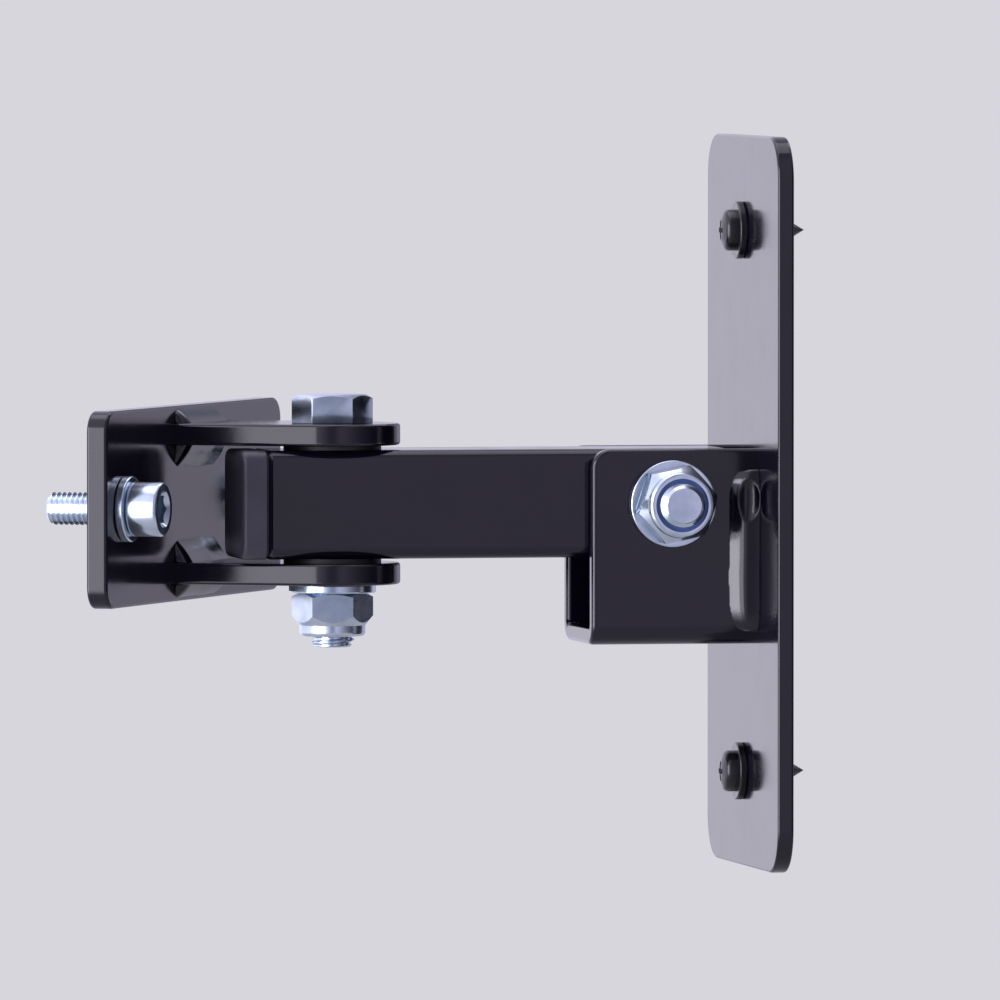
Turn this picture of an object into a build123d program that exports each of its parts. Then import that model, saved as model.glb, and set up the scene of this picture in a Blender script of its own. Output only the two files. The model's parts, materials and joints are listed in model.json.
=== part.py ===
from build123d import *
from math import cos, pi, radians, tan
import os

# Wall bracket for a loudspeaker, in millimetres.
# The origin is the middle of the wall plate's back face, +X points into the wall and +Z is up.
# The arm reaches out along -X, tilts about Y in the channel and carries a fork that swivels about Z.

# Wall plate
wall_plate_width = 65.0
wall_plate_height = 135.0
wall_plate_thickness = 3.0
wall_plate_corner_radius = 8.0
wall_plate_edge_radius = 0.5
wall_screw_spacing = 100.0
wall_screw_hole_clearance = 0.6

# Wall screws and their washers
wall_screw_diameter = 4.2
wall_screw_neck_diameter = 3.1
wall_screw_length = 13.0
wall_screw_tip_length = 3.5
wall_screw_head_diameter = 7.6
wall_screw_head_height = 2.8
wall_screw_head_edge_radius = 1.3
wall_screw_recess_span = 4.4
wall_screw_recess_width = 1.1
wall_screw_recess_depth = 1.6
wall_washer_diameter = 10.6
wall_washer_thickness = 1.4

# Folded channel and its welds
channel_length = 31.0
channel_height = 36.0
channel_wall = 3.0
channel_bend_radius = 1.0
channel_corner_radius = 3.5
channel_edge_radius = 0.9
channel_hole_clearance = 0.2
channel_weld_leg = 5.6
channel_weld_rise = 3.2
channel_weld_bulge = 0.5
channel_weld_length = 30.0
channel_weld_below_rim = 3.6
channel_weld_end_radius = 1.2

# Arm tube and end cap
tilt_setback = 16.0
arm_span = 61.0
tube_size = 20.0
tube_wall = 2.0
tube_corner_radius = 2.4
tube_end_chamfer = 0.7
tube_inner_radius = 0.8
tube_tail = 11.5
tube_nose = 13.5
cap_thickness = 5.0
cap_edge_radius = 1.1
cap_rim_chamfer = 0.5
cap_plug_length = 7.0
cap_plug_wall = 1.6
cap_plug_clearance = 0.5
cap_fin_clearance = 0.1
cap_fin_thickness = 0.8
cap_fin_pitch = 2.4
cap_fin_count = 2

# Fork and its welds
swivel_angle = -28.5
fork_width = 25.0
fork_thickness = 4.0
fork_reach = 26.6
fork_edge_radius = 0.6
fork_weld_leg = 2.8
fork_inner_weld_height = 4.5
fork_inner_weld_leg = 3.0
fork_weld_bulge = 0.3
fork_weld_length = 24.0

# Speaker plate, its screws and their washers
speaker_plate_length = 100.0
speaker_plate_height = 36.0
speaker_plate_thickness = 4.0
speaker_plate_corner_radius = 4.0
speaker_plate_edge_radius = 0.6
speaker_screw_spacing = 80.0
speaker_screw_diameter = 6.0
speaker_screw_shank_diameter = 5.4
speaker_screw_hole_clearance = 0.5
speaker_screw_reach = 10.4
speaker_screw_point = 0.8
speaker_screw_head_diameter = 10.0
speaker_screw_head_height = 6.0
speaker_screw_head_edge_radius = 0.6
speaker_screw_socket_flats = 5.0
speaker_screw_socket_depth = 3.0
speaker_washer_diameter = 12.0
speaker_washer_thickness = 1.6

# Pivot bolts, plain washers, lock nuts and friction washers
bolt_diameter = 8.0
bolt_head_flats = 13.0
bolt_head_height = 5.3
bolt_end_past_nut = 2.0
bolt_point = 0.8
pivot_clearance = 0.08
washer_diameter = 16.0
washer_thickness = 1.6
washer_bore_clearance = 0.2
washer_edge_radius = 0.3
nut_flats = 13.0
nut_height = 8.0
nut_flank_height = 4.2
nut_collar_diameter = 12.1
nut_collar_height = 2.0
nut_collar_edge_radius = 0.8
nut_bore_clearance = 0.05
insert_diameter = 10.6
insert_height = 2.0
insert_lip = 0.7
insert_window_diameter = 9.8
insert_clearance = 0.05
friction_washer_diameter = 18.0
friction_washer_thickness = 0.8
hex_sides = 6
hex_chamfer_share = 0.95
hex_chamfer_angle = 30.0
swivel_head_turn = 18.0
swivel_nut_turn = 41.0
tilt_head_turn = 0.0
tilt_nut_turn = 12.0

# Sizes that follow from the driving dimensions
wall_front_x = -wall_plate_thickness
tilt_x = wall_front_x - tilt_setback
swivel_x = tilt_x - arm_span
channel_inside = tube_size + 2 * friction_washer_thickness
channel_width = channel_inside + 2 * channel_wall
channel_rim_z = tube_size / 2
channel_middle_z = channel_rim_z - channel_height / 2
fork_inside = tube_size + 2 * friction_washer_thickness
fork_height = fork_inside + 2 * fork_thickness
pivot_hole_radius = bolt_diameter / 2 + pivot_clearance

# Planes: the tilt bolt's two ends, and the swivelled frame of the fork and speaker plate
tilt_near = Plane(origin=(tilt_x, 0, 0), x_dir=(1, 0, 0), z_dir=(0, -1, 0))
tilt_far = Plane(origin=(tilt_x, 0, 0), x_dir=(-1, 0, 0), z_dir=(0, 1, 0))
wall_face = Plane(origin=(wall_front_x, 0, 0), x_dir=(0, -1, 0), z_dir=(-1, 0, 0))
swing = Plane(origin=(swivel_x, 0, 0)).rotated((0, 0, swivel_angle))
swing_under = Plane(origin=swing.origin, x_dir=swing.x_dir, z_dir=-swing.z_dir)
swing_side = Plane(origin=swing.origin, x_dir=swing.x_dir, z_dir=-swing.y_dir)
swing_front = Plane(origin=swing.origin, x_dir=-swing.y_dir, z_dir=-swing.x_dir)
swing_back = Plane(origin=swing.origin, x_dir=swing.y_dir, z_dir=swing.x_dir)
speaker_seat = swing_back.offset(-fork_reach)

os.makedirs("parts", exist_ok=True)


def save(piece, name):
    """Label a finished piece and write it to its own file."""
    piece.part.label = name
    export_step(piece.part, f"parts/{name}.step")


def section_through(seat):
    """The plane through a seat's axis, with its own y along that axis."""
    return Plane(origin=seat.origin, x_dir=seat.x_dir, z_dir=-seat.y_dir)


def axis_of(seat):
    """The axis that stands on a seat."""
    return Axis(seat.origin, seat.z_dir)


def hex_corner_radius(flats):
    """How far the corners of a hexagon lie from its middle."""
    return flats / 2 / cos(pi / hex_sides)


def hex_chamfer_drop(flats):
    """How far the chamfer of a hexagon drops from its end face to its corners."""
    overhang = hex_corner_radius(flats) - hex_chamfer_share * flats / 2
    return overhang * tan(radians(hex_chamfer_angle))


def plain_washer(seat, diameter, bore, thickness):
    """A flat ring that lies on its seat."""
    with BuildPart() as washer:
        with BuildSketch(seat):
            Circle(diameter / 2)
            Circle(bore / 2, mode=Mode.SUBTRACT)
        extrude(amount=thickness)
        rims = washer.edges().filter_by(GeomType.CIRCLE).group_by(SortBy.RADIUS)[-1]
        fillet(rims, washer_edge_radius)
    return washer


def hex_bolt(seat, length, turn):
    """A hexagon bolt whose head stands on its seat and whose shank runs down through it."""
    corner_radius = hex_corner_radius(bolt_head_flats)
    face_radius = hex_chamfer_share * bolt_head_flats / 2
    drop = hex_chamfer_drop(bolt_head_flats)
    shank_radius = bolt_diameter / 2
    with BuildPart() as bolt:
        with BuildSketch(seat):
            RegularPolygon(corner_radius, hex_sides, rotation=turn)
        extrude(amount=bolt_head_height)
        with BuildSketch(section_through(seat)):
            with BuildLine():
                Polyline(
                    (0, 0),
                    (corner_radius, 0),
                    (corner_radius, bolt_head_height - drop),
                    (face_radius, bolt_head_height),
                    (0, bolt_head_height),
                    close=True,
                )
            make_face()
        revolve(axis=axis_of(seat), mode=Mode.INTERSECT)
        with BuildSketch(section_through(seat)):
            with BuildLine():
                Polyline(
                    (0, 0),
                    (shank_radius, 0),
                    (shank_radius, bolt_point - length),
                    (shank_radius - bolt_point, -length),
                    (0, -length),
                    close=True,
                )
            make_face()
        revolve(axis=axis_of(seat))
    return bolt


def lock_nut(seat, turn):
    """A hexagon lock nut that tapers to a rolled collar, hollowed for its insert, standing on its seat."""
    corner_radius = hex_corner_radius(nut_flats)
    face_radius = hex_chamfer_share * nut_flats / 2
    drop = hex_chamfer_drop(nut_flats)
    collar_foot = nut_height - nut_collar_height
    insert_top = nut_height - insert_lip
    with BuildPart() as nut:
        with BuildSketch(seat):
            RegularPolygon(corner_radius, hex_sides, rotation=turn)
        extrude(amount=collar_foot)
        with BuildSketch(section_through(seat)):
            with BuildLine():
                Polyline(
                    (0, 0),
                    (face_radius, 0),
                    (corner_radius, drop),
                    (corner_radius, nut_flank_height),
                    (nut_collar_diameter / 2, collar_foot),
                    (0, collar_foot),
                    close=True,
                )
            make_face()
        revolve(axis=axis_of(seat), mode=Mode.INTERSECT)
        with BuildSketch(seat.offset(collar_foot)):
            Circle(nut_collar_diameter / 2)
        extrude(amount=nut_collar_height)
        rolled_edge = nut.edges().filter_by(GeomType.CIRCLE).sort_by(axis_of(seat))[-1]
        fillet(rolled_edge, nut_collar_edge_radius)
        with BuildSketch(section_through(seat)):
            with BuildLine():
                Polyline(
                    (0, 0),
                    (bolt_diameter / 2 + nut_bore_clearance, 0),
                    (bolt_diameter / 2 + nut_bore_clearance, insert_top - insert_height),
                    (insert_diameter / 2, insert_top - insert_height),
                    (insert_diameter / 2, insert_top),
                    (insert_window_diameter / 2, insert_top),
                    (insert_window_diameter / 2, nut_height),
                    (0, nut_height),
                    close=True,
                )
            make_face()
        revolve(axis=axis_of(seat), mode=Mode.SUBTRACT)
    return nut


def nut_insert(seat):
    """The nylon ring held under the collar of a lock nut that stands on this seat."""
    with BuildPart() as ring:
        with BuildSketch(seat.offset(nut_height - insert_lip - insert_height)):
            Circle(insert_diameter / 2 - insert_clearance)
            Circle(bolt_diameter / 2 + insert_clearance, mode=Mode.SUBTRACT)
        extrude(amount=insert_height)
    return ring


# Wall plate
with BuildPart() as wall_plate:
    with BuildSketch(wall_face):
        RectangleRounded(wall_plate_width, wall_plate_height, wall_plate_corner_radius)
    extrude(amount=-wall_plate_thickness)
    outline = wall_plate.faces().filter_by(Axis.X).edges()
    fillet(outline, wall_plate_edge_radius)
    with BuildSketch(wall_face):
        with GridLocations(0, wall_screw_spacing, 1, 2):
            Circle(wall_screw_diameter / 2 + wall_screw_hole_clearance)
    extrude(amount=-wall_plate_thickness, mode=Mode.SUBTRACT)
save(wall_plate, "wall_plate")

# Washers under the wall screws
with BuildPart() as wall_screw_washers:
    with BuildSketch(wall_face):
        with GridLocations(0, wall_screw_spacing, 1, 2):
            Circle(wall_washer_diameter / 2)
            Circle(wall_screw_diameter / 2 + washer_bore_clearance, mode=Mode.SUBTRACT)
    extrude(amount=wall_washer_thickness)
    rims = wall_screw_washers.edges().filter_by(GeomType.CIRCLE).group_by(SortBy.RADIUS)[-1]
    fillet(rims, washer_edge_radius)
save(wall_screw_washers, "wall_screw_washers")

# Wall screws: a pan head with a cross recess, a plain neck through the plate and a pointed thread
upper_screw_seat = Plane(
    origin=(wall_front_x - wall_washer_thickness, 0, wall_screw_spacing / 2),
    x_dir=(0, -1, 0),
    z_dir=(-1, 0, 0),
)
wall_screw_neck_length = wall_washer_thickness + wall_plate_thickness
with BuildPart() as wall_screws:
    with BuildSketch(section_through(upper_screw_seat)):
        with BuildLine():
            Polyline(
                (0, wall_screw_head_height),
                (wall_screw_head_diameter / 2, wall_screw_head_height),
                (wall_screw_head_diameter / 2, 0),
                (wall_screw_neck_diameter / 2, 0),
                (wall_screw_neck_diameter / 2, -wall_screw_neck_length),
                (wall_screw_diameter / 2, -wall_screw_neck_length),
                (wall_screw_diameter / 2, wall_screw_tip_length - wall_screw_length),
                (0, -wall_screw_length),
                close=True,
            )
        make_face()
    revolve(axis=axis_of(upper_screw_seat))
    head_rim = wall_screws.edges().filter_by(GeomType.CIRCLE).sort_by(Axis.X)[0]
    fillet(head_rim, wall_screw_head_edge_radius)
    with BuildSketch(upper_screw_seat.offset(wall_screw_head_height)):
        Rectangle(wall_screw_recess_span, wall_screw_recess_width)
        Rectangle(wall_screw_recess_width, wall_screw_recess_span)
    extrude(amount=-wall_screw_recess_depth, mode=Mode.SUBTRACT)
    mirror(about=Plane.XY)
save(wall_screws, "wall_screws")

# Folded channel, open on top and at its outer end
with BuildPart() as wall_channel:
    with BuildSketch(wall_face) as channel_section:
        with Locations((0, channel_middle_z)):
            Rectangle(channel_width, channel_height)
        with Locations((0, channel_middle_z + channel_wall)):
            Rectangle(channel_inside, channel_height, mode=Mode.SUBTRACT)
        fillet(channel_section.vertices().group_by(Axis.Y)[1], channel_bend_radius)
        fillet(channel_section.vertices().group_by(Axis.Y)[0], channel_bend_radius + channel_wall)
    extrude(amount=channel_length)
    free_corners = wall_channel.edges().filter_by(Axis.Y).group_by(Axis.X)[0].group_by(Axis.Z)[-1]
    fillet(free_corners, channel_corner_radius)
    wall_edges = wall_channel.faces().filter_by(Axis.Y).edges()
    front_edges = wall_edges.filter_by(Axis.Z).group_by(Axis.X)[0]
    fillet(front_edges, channel_edge_radius)
    with BuildSketch(tilt_near):
        Circle(bolt_diameter / 2 + channel_hole_clearance)
    extrude(amount=channel_width, both=True, mode=Mode.SUBTRACT)
save(wall_channel, "wall_channel")

# Fillet welds down both sides of the channel
with BuildPart() as channel_welds:
    with BuildSketch(Plane.XY.offset(channel_rim_z - channel_weld_below_rim)):
        with BuildLine():
            toe_on_channel = Vector(wall_front_x - channel_weld_leg, -channel_width / 2)
            toe_on_plate = Vector(wall_front_x, -channel_width / 2 - channel_weld_rise)
            outward = Vector(-channel_weld_rise, -channel_weld_leg).normalized()
            crown = (toe_on_channel + toe_on_plate) / 2 + outward * channel_weld_bulge
            ThreePointArc(toe_on_channel, crown, toe_on_plate)
            Polyline(toe_on_plate, (wall_front_x, -channel_width / 2), toe_on_channel)
        make_face()
    extrude(amount=-channel_weld_length)
    bead_ends = channel_welds.edges().filter_by(GeomType.CIRCLE)
    fillet(bead_ends, channel_weld_end_radius)
    mirror(about=Plane.XZ)
save(channel_welds, "channel_welds")

# Square arm tube with its cross holes
with BuildPart() as arm_tube:
    with BuildSketch(wall_face.offset(tilt_setback - tube_tail)):
        RectangleRounded(tube_size, tube_size, tube_corner_radius)
        hollow = tube_size - 2 * tube_wall
        RectangleRounded(hollow, hollow, tube_inner_radius, mode=Mode.SUBTRACT)
    extrude(amount=tube_tail + arm_span + tube_nose)
    tube_ends = arm_tube.faces().filter_by(Axis.X)
    chamfer([edge for end in tube_ends for edge in end.outer_wire().edges()], tube_end_chamfer)
    with BuildSketch(tilt_near):
        Circle(pivot_hole_radius)
    extrude(amount=tube_size, both=True, mode=Mode.SUBTRACT)
    with BuildSketch(swing):
        Circle(pivot_hole_radius)
    extrude(amount=tube_size, both=True, mode=Mode.SUBTRACT)
save(arm_tube, "arm_tube")

# End cap: a square head with a finned plug in the tube
tube_end = wall_face.offset(tilt_setback + arm_span + tube_nose)
plug_size = tube_size - 2 * (tube_wall + cap_plug_clearance)
plug_hollow = plug_size - 2 * cap_plug_wall
fin_size = tube_size - 2 * (tube_wall + cap_fin_clearance)
with BuildPart() as arm_end_cap:
    with BuildSketch(tube_end):
        RectangleRounded(tube_size, tube_size, tube_corner_radius)
    extrude(amount=cap_thickness)
    fillet(arm_end_cap.faces().sort_by(Axis.X)[0].edges(), cap_edge_radius)
    chamfer(arm_end_cap.faces().sort_by(Axis.X)[-1].edges(), cap_rim_chamfer)
    with BuildSketch(tube_end):
        Rectangle(plug_size, plug_size)
    extrude(amount=-cap_plug_length)
    for fin in range(cap_fin_count):
        with BuildSketch(tube_end.offset(-cap_fin_pitch * (fin + 1))):
            RectangleRounded(fin_size, fin_size, tube_inner_radius)
        extrude(amount=cap_fin_thickness)
    with BuildSketch(tube_end):
        Rectangle(plug_hollow, plug_hollow)
    extrude(amount=-cap_plug_length, mode=Mode.SUBTRACT)
save(arm_end_cap, "arm_end_cap")

# Fork of two flat ears with round ends about the swivel bolt
with BuildPart() as swivel_fork:
    for ear_seat in (swing, swing_under):
        with BuildSketch(ear_seat.offset(fork_inside / 2)):
            Rectangle(fork_reach, fork_width, align=(Align.MAX, Align.CENTER))
            Circle(fork_width / 2)
        extrude(amount=fork_thickness)
    flank_edges = swivel_fork.edges().filter_by(Axis(swing.origin, swing.x_dir))
    round_edges = swivel_fork.edges().filter_by(GeomType.CIRCLE)
    fillet(flank_edges + round_edges, fork_edge_radius)
    with BuildSketch(swing):
        Circle(pivot_hole_radius)
    extrude(amount=fork_height, both=True, mode=Mode.SUBTRACT)
save(swivel_fork, "swivel_fork")

# Fillet welds outside and inside each ear, on the speaker plate
with BuildPart() as fork_welds:
    for root_z, leg_on_plate, leg_on_ear in (
        (fork_height / 2, fork_weld_leg, fork_weld_leg),
        (fork_inside / 2, -fork_inner_weld_height, fork_inner_weld_leg),
    ):
        with BuildSketch(swing_side):
            with BuildLine():
                root = Vector(-fork_reach, root_z)
                toe_on_plate = root + Vector(0, leg_on_plate)
                toe_on_ear = root + Vector(leg_on_ear, 0)
                middle = (toe_on_plate + toe_on_ear) / 2
                crown = middle + (middle - root).normalized() * fork_weld_bulge
                ThreePointArc(toe_on_plate, crown, toe_on_ear)
                Polyline(toe_on_ear, root, toe_on_plate)
            make_face()
        extrude(amount=fork_weld_length / 2, both=True)
    mirror(about=swing)
save(fork_welds, "fork_welds")

# Speaker plate
with BuildPart() as speaker_plate:
    with BuildSketch(swing_front.offset(fork_reach)):
        RectangleRounded(speaker_plate_length, speaker_plate_height, speaker_plate_corner_radius)
    extrude(amount=speaker_plate_thickness)
    outline = speaker_plate.faces().filter_by(swing_front).edges()
    fillet(outline, speaker_plate_edge_radius)
    with BuildSketch(swing_front.offset(fork_reach)):
        with GridLocations(speaker_screw_spacing, 0, 2, 1):
            Circle(speaker_screw_diameter / 2 + speaker_screw_hole_clearance)
    extrude(amount=speaker_plate_thickness, mode=Mode.SUBTRACT)
save(speaker_plate, "speaker_plate")

# Washers under the speaker screws
with BuildPart() as speaker_screw_washers:
    with BuildSketch(speaker_seat):
        with GridLocations(speaker_screw_spacing, 0, 2, 1):
            Circle(speaker_washer_diameter / 2)
            Circle(speaker_screw_diameter / 2 + washer_bore_clearance, mode=Mode.SUBTRACT)
    extrude(amount=speaker_washer_thickness)
    rims = speaker_screw_washers.edges().filter_by(GeomType.CIRCLE).group_by(SortBy.RADIUS)[-1]
    fillet(rims, washer_edge_radius)
save(speaker_screw_washers, "speaker_screw_washers")

# Speaker screws: a socket head, a plain shank through the plate and a thread beyond it
screw_seat = speaker_seat.offset(speaker_washer_thickness)
near_screw_seat = Plane(
    origin=screw_seat.from_local_coords((-speaker_screw_spacing / 2, 0, 0)),
    x_dir=screw_seat.x_dir,
    z_dir=screw_seat.z_dir,
)
speaker_shank_length = speaker_washer_thickness + speaker_plate_thickness
speaker_screw_length = speaker_shank_length + speaker_screw_reach
with BuildPart() as speaker_screws:
    with BuildSketch(section_through(near_screw_seat)):
        with BuildLine():
            Polyline(
                (0, speaker_screw_head_height),
                (speaker_screw_head_diameter / 2, speaker_screw_head_height),
                (speaker_screw_head_diameter / 2, 0),
                (speaker_screw_shank_diameter / 2, 0),
                (speaker_screw_shank_diameter / 2, -speaker_shank_length),
                (speaker_screw_diameter / 2, -speaker_shank_length),
                (speaker_screw_diameter / 2, speaker_screw_point - speaker_screw_length),
                (speaker_screw_diameter / 2 - speaker_screw_point, -speaker_screw_length),
                (0, -speaker_screw_length),
                close=True,
            )
        make_face()
    revolve(axis=axis_of(near_screw_seat))
    head_rim = speaker_screws.edges().filter_by(GeomType.CIRCLE).sort_by(axis_of(near_screw_seat))[-1]
    fillet(head_rim, speaker_screw_head_edge_radius)
    with BuildSketch(near_screw_seat.offset(speaker_screw_head_height)):
        RegularPolygon(speaker_screw_socket_flats / 2, hex_sides, major_radius=False)
    extrude(amount=-speaker_screw_socket_depth, mode=Mode.SUBTRACT)
    mirror(about=swing_side)
save(speaker_screws, "speaker_screws")

# Tilt pivot: the bolt comes in from the far side and takes its nut on the near side
near_face = tilt_near.offset(channel_width / 2)
far_face = tilt_far.offset(channel_width / 2)
tilt_nut_seat = near_face.offset(washer_thickness)
tilt_bolt_length = channel_width + 2 * washer_thickness + nut_height + bolt_end_past_nut
washer_bore = bolt_diameter + 2 * washer_bore_clearance
tilt_head_washer = plain_washer(far_face, washer_diameter, washer_bore, washer_thickness)
save(tilt_head_washer, "tilt_head_washer")
tilt_nut_washer = plain_washer(near_face, washer_diameter, washer_bore, washer_thickness)
save(tilt_nut_washer, "tilt_nut_washer")
tilt_bolt = hex_bolt(far_face.offset(washer_thickness), tilt_bolt_length, tilt_head_turn)
save(tilt_bolt, "tilt_bolt")
tilt_lock_nut = lock_nut(tilt_nut_seat, tilt_nut_turn)
save(tilt_lock_nut, "tilt_lock_nut")
tilt_nut_insert = nut_insert(tilt_nut_seat)
save(tilt_nut_insert, "tilt_nut_insert")

# Swivel pivot: the head lies on the fork and the nut clamps it from below
swivel_top = swing.offset(fork_height / 2)
swivel_bottom = swing_under.offset(fork_height / 2)
swivel_nut_seat = swivel_bottom.offset(washer_thickness)
swivel_bolt_length = fork_height + washer_thickness + nut_height + bolt_end_past_nut
swivel_nut_washer = plain_washer(swivel_bottom, washer_diameter, washer_bore, washer_thickness)
save(swivel_nut_washer, "swivel_nut_washer")
swivel_bolt = hex_bolt(swivel_top, swivel_bolt_length, swivel_head_turn)
save(swivel_bolt, "swivel_bolt")
swivel_lock_nut = lock_nut(swivel_nut_seat, swivel_nut_turn)
save(swivel_lock_nut, "swivel_lock_nut")
swivel_nut_insert = nut_insert(swivel_nut_seat)
save(swivel_nut_insert, "swivel_nut_insert")

# Friction washers on both sides of the arm tube, at each pivot
for pivot_plane, name in ((tilt_near, "tilt_friction_washers"), (swing, "swivel_friction_washers")):
    with BuildPart() as friction_washers:
        with BuildSketch(pivot_plane.offset(tube_size / 2)):
            Circle(friction_washer_diameter / 2)
            Circle(pivot_hole_radius, mode=Mode.SUBTRACT)
        extrude(amount=friction_washer_thickness)
        mirror(about=pivot_plane)
    save(friction_washers, name)
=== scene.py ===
"""Speaker wall bracket: finishes, weld beads, threaded hardware and a plain studio round the frame."""
import json
import logging
import math
import random
from contextlib import contextmanager
from dataclasses import dataclass, field
from enum import Enum
from typing import Callable, Iterator, Mapping, Sequence

import bpy
from mathutils import Matrix, Vector


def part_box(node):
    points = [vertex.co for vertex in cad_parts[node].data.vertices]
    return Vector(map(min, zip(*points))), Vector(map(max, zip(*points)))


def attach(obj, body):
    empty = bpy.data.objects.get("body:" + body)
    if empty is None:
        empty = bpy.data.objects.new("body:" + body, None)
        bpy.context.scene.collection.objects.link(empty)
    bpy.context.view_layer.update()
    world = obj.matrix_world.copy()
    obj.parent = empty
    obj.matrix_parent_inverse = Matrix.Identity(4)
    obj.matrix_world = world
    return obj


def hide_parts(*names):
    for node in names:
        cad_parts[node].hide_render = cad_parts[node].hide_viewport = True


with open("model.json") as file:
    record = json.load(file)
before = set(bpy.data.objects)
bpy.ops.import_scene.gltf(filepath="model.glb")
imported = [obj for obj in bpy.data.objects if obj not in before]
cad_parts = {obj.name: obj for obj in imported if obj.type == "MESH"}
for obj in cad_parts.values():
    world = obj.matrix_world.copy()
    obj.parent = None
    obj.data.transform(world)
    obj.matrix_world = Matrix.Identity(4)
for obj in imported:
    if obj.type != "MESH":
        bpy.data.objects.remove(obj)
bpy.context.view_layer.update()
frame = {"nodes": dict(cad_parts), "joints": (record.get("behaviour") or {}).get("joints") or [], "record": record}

log = logging.getLogger("speaker_wall_bracket")

MM = 0.001
FULL_TURN = 2 * math.pi
QUARTER_TURN = math.pi / 2
MERGE_GAP = 0.002 * MM
CUT_GAP = 0.0001 * MM
LAP = 1.0 * MM
HEX_SIDES = 6
AT_ORIGIN = Matrix.Identity(4)

Point = tuple[float, float, float]
Colour = tuple[float, float, float]
Pair = tuple[float, float]
Socket = bpy.types.NodeSocket
Sockets = Mapping[str, Socket]


class Slot(Enum):
    """The record's material slots."""

    PAINT = "black_paint"
    ZINC = "zinc_plate"
    BLUE_NYLON = "blue_nylon"
    BLACK_NYLON = "black_nylon"
    CAP_PLASTIC = "black_plastic"
    BLACK_SCREW = "black_screw"


class Body(Enum):
    """The CAD bodies that new pieces ride on."""

    WALL_BRACKET = "wall_bracket"
    SPEAKER_MOUNT = "speaker_mount"


class Cut(Enum):
    """What a tool solid does to the piece that it is applied to."""

    ADD = "UNION"
    REMOVE = "DIFFERENCE"
    KEEP = "INTERSECT"


@contextmanager
def editing(piece: bpy.types.Object) -> Iterator[None]:
    """Open a piece in edit mode with all of it selected, and close it again afterwards.

    Args:
        piece: The mesh object to edit.
    """
    Bench.pick(piece)
    bpy.ops.object.mode_set(mode="EDIT")
    bpy.ops.mesh.select_mode(type="VERT")
    bpy.ops.mesh.select_all(action="SELECT")
    yield
    bpy.ops.object.mode_set(mode="OBJECT")


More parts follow.
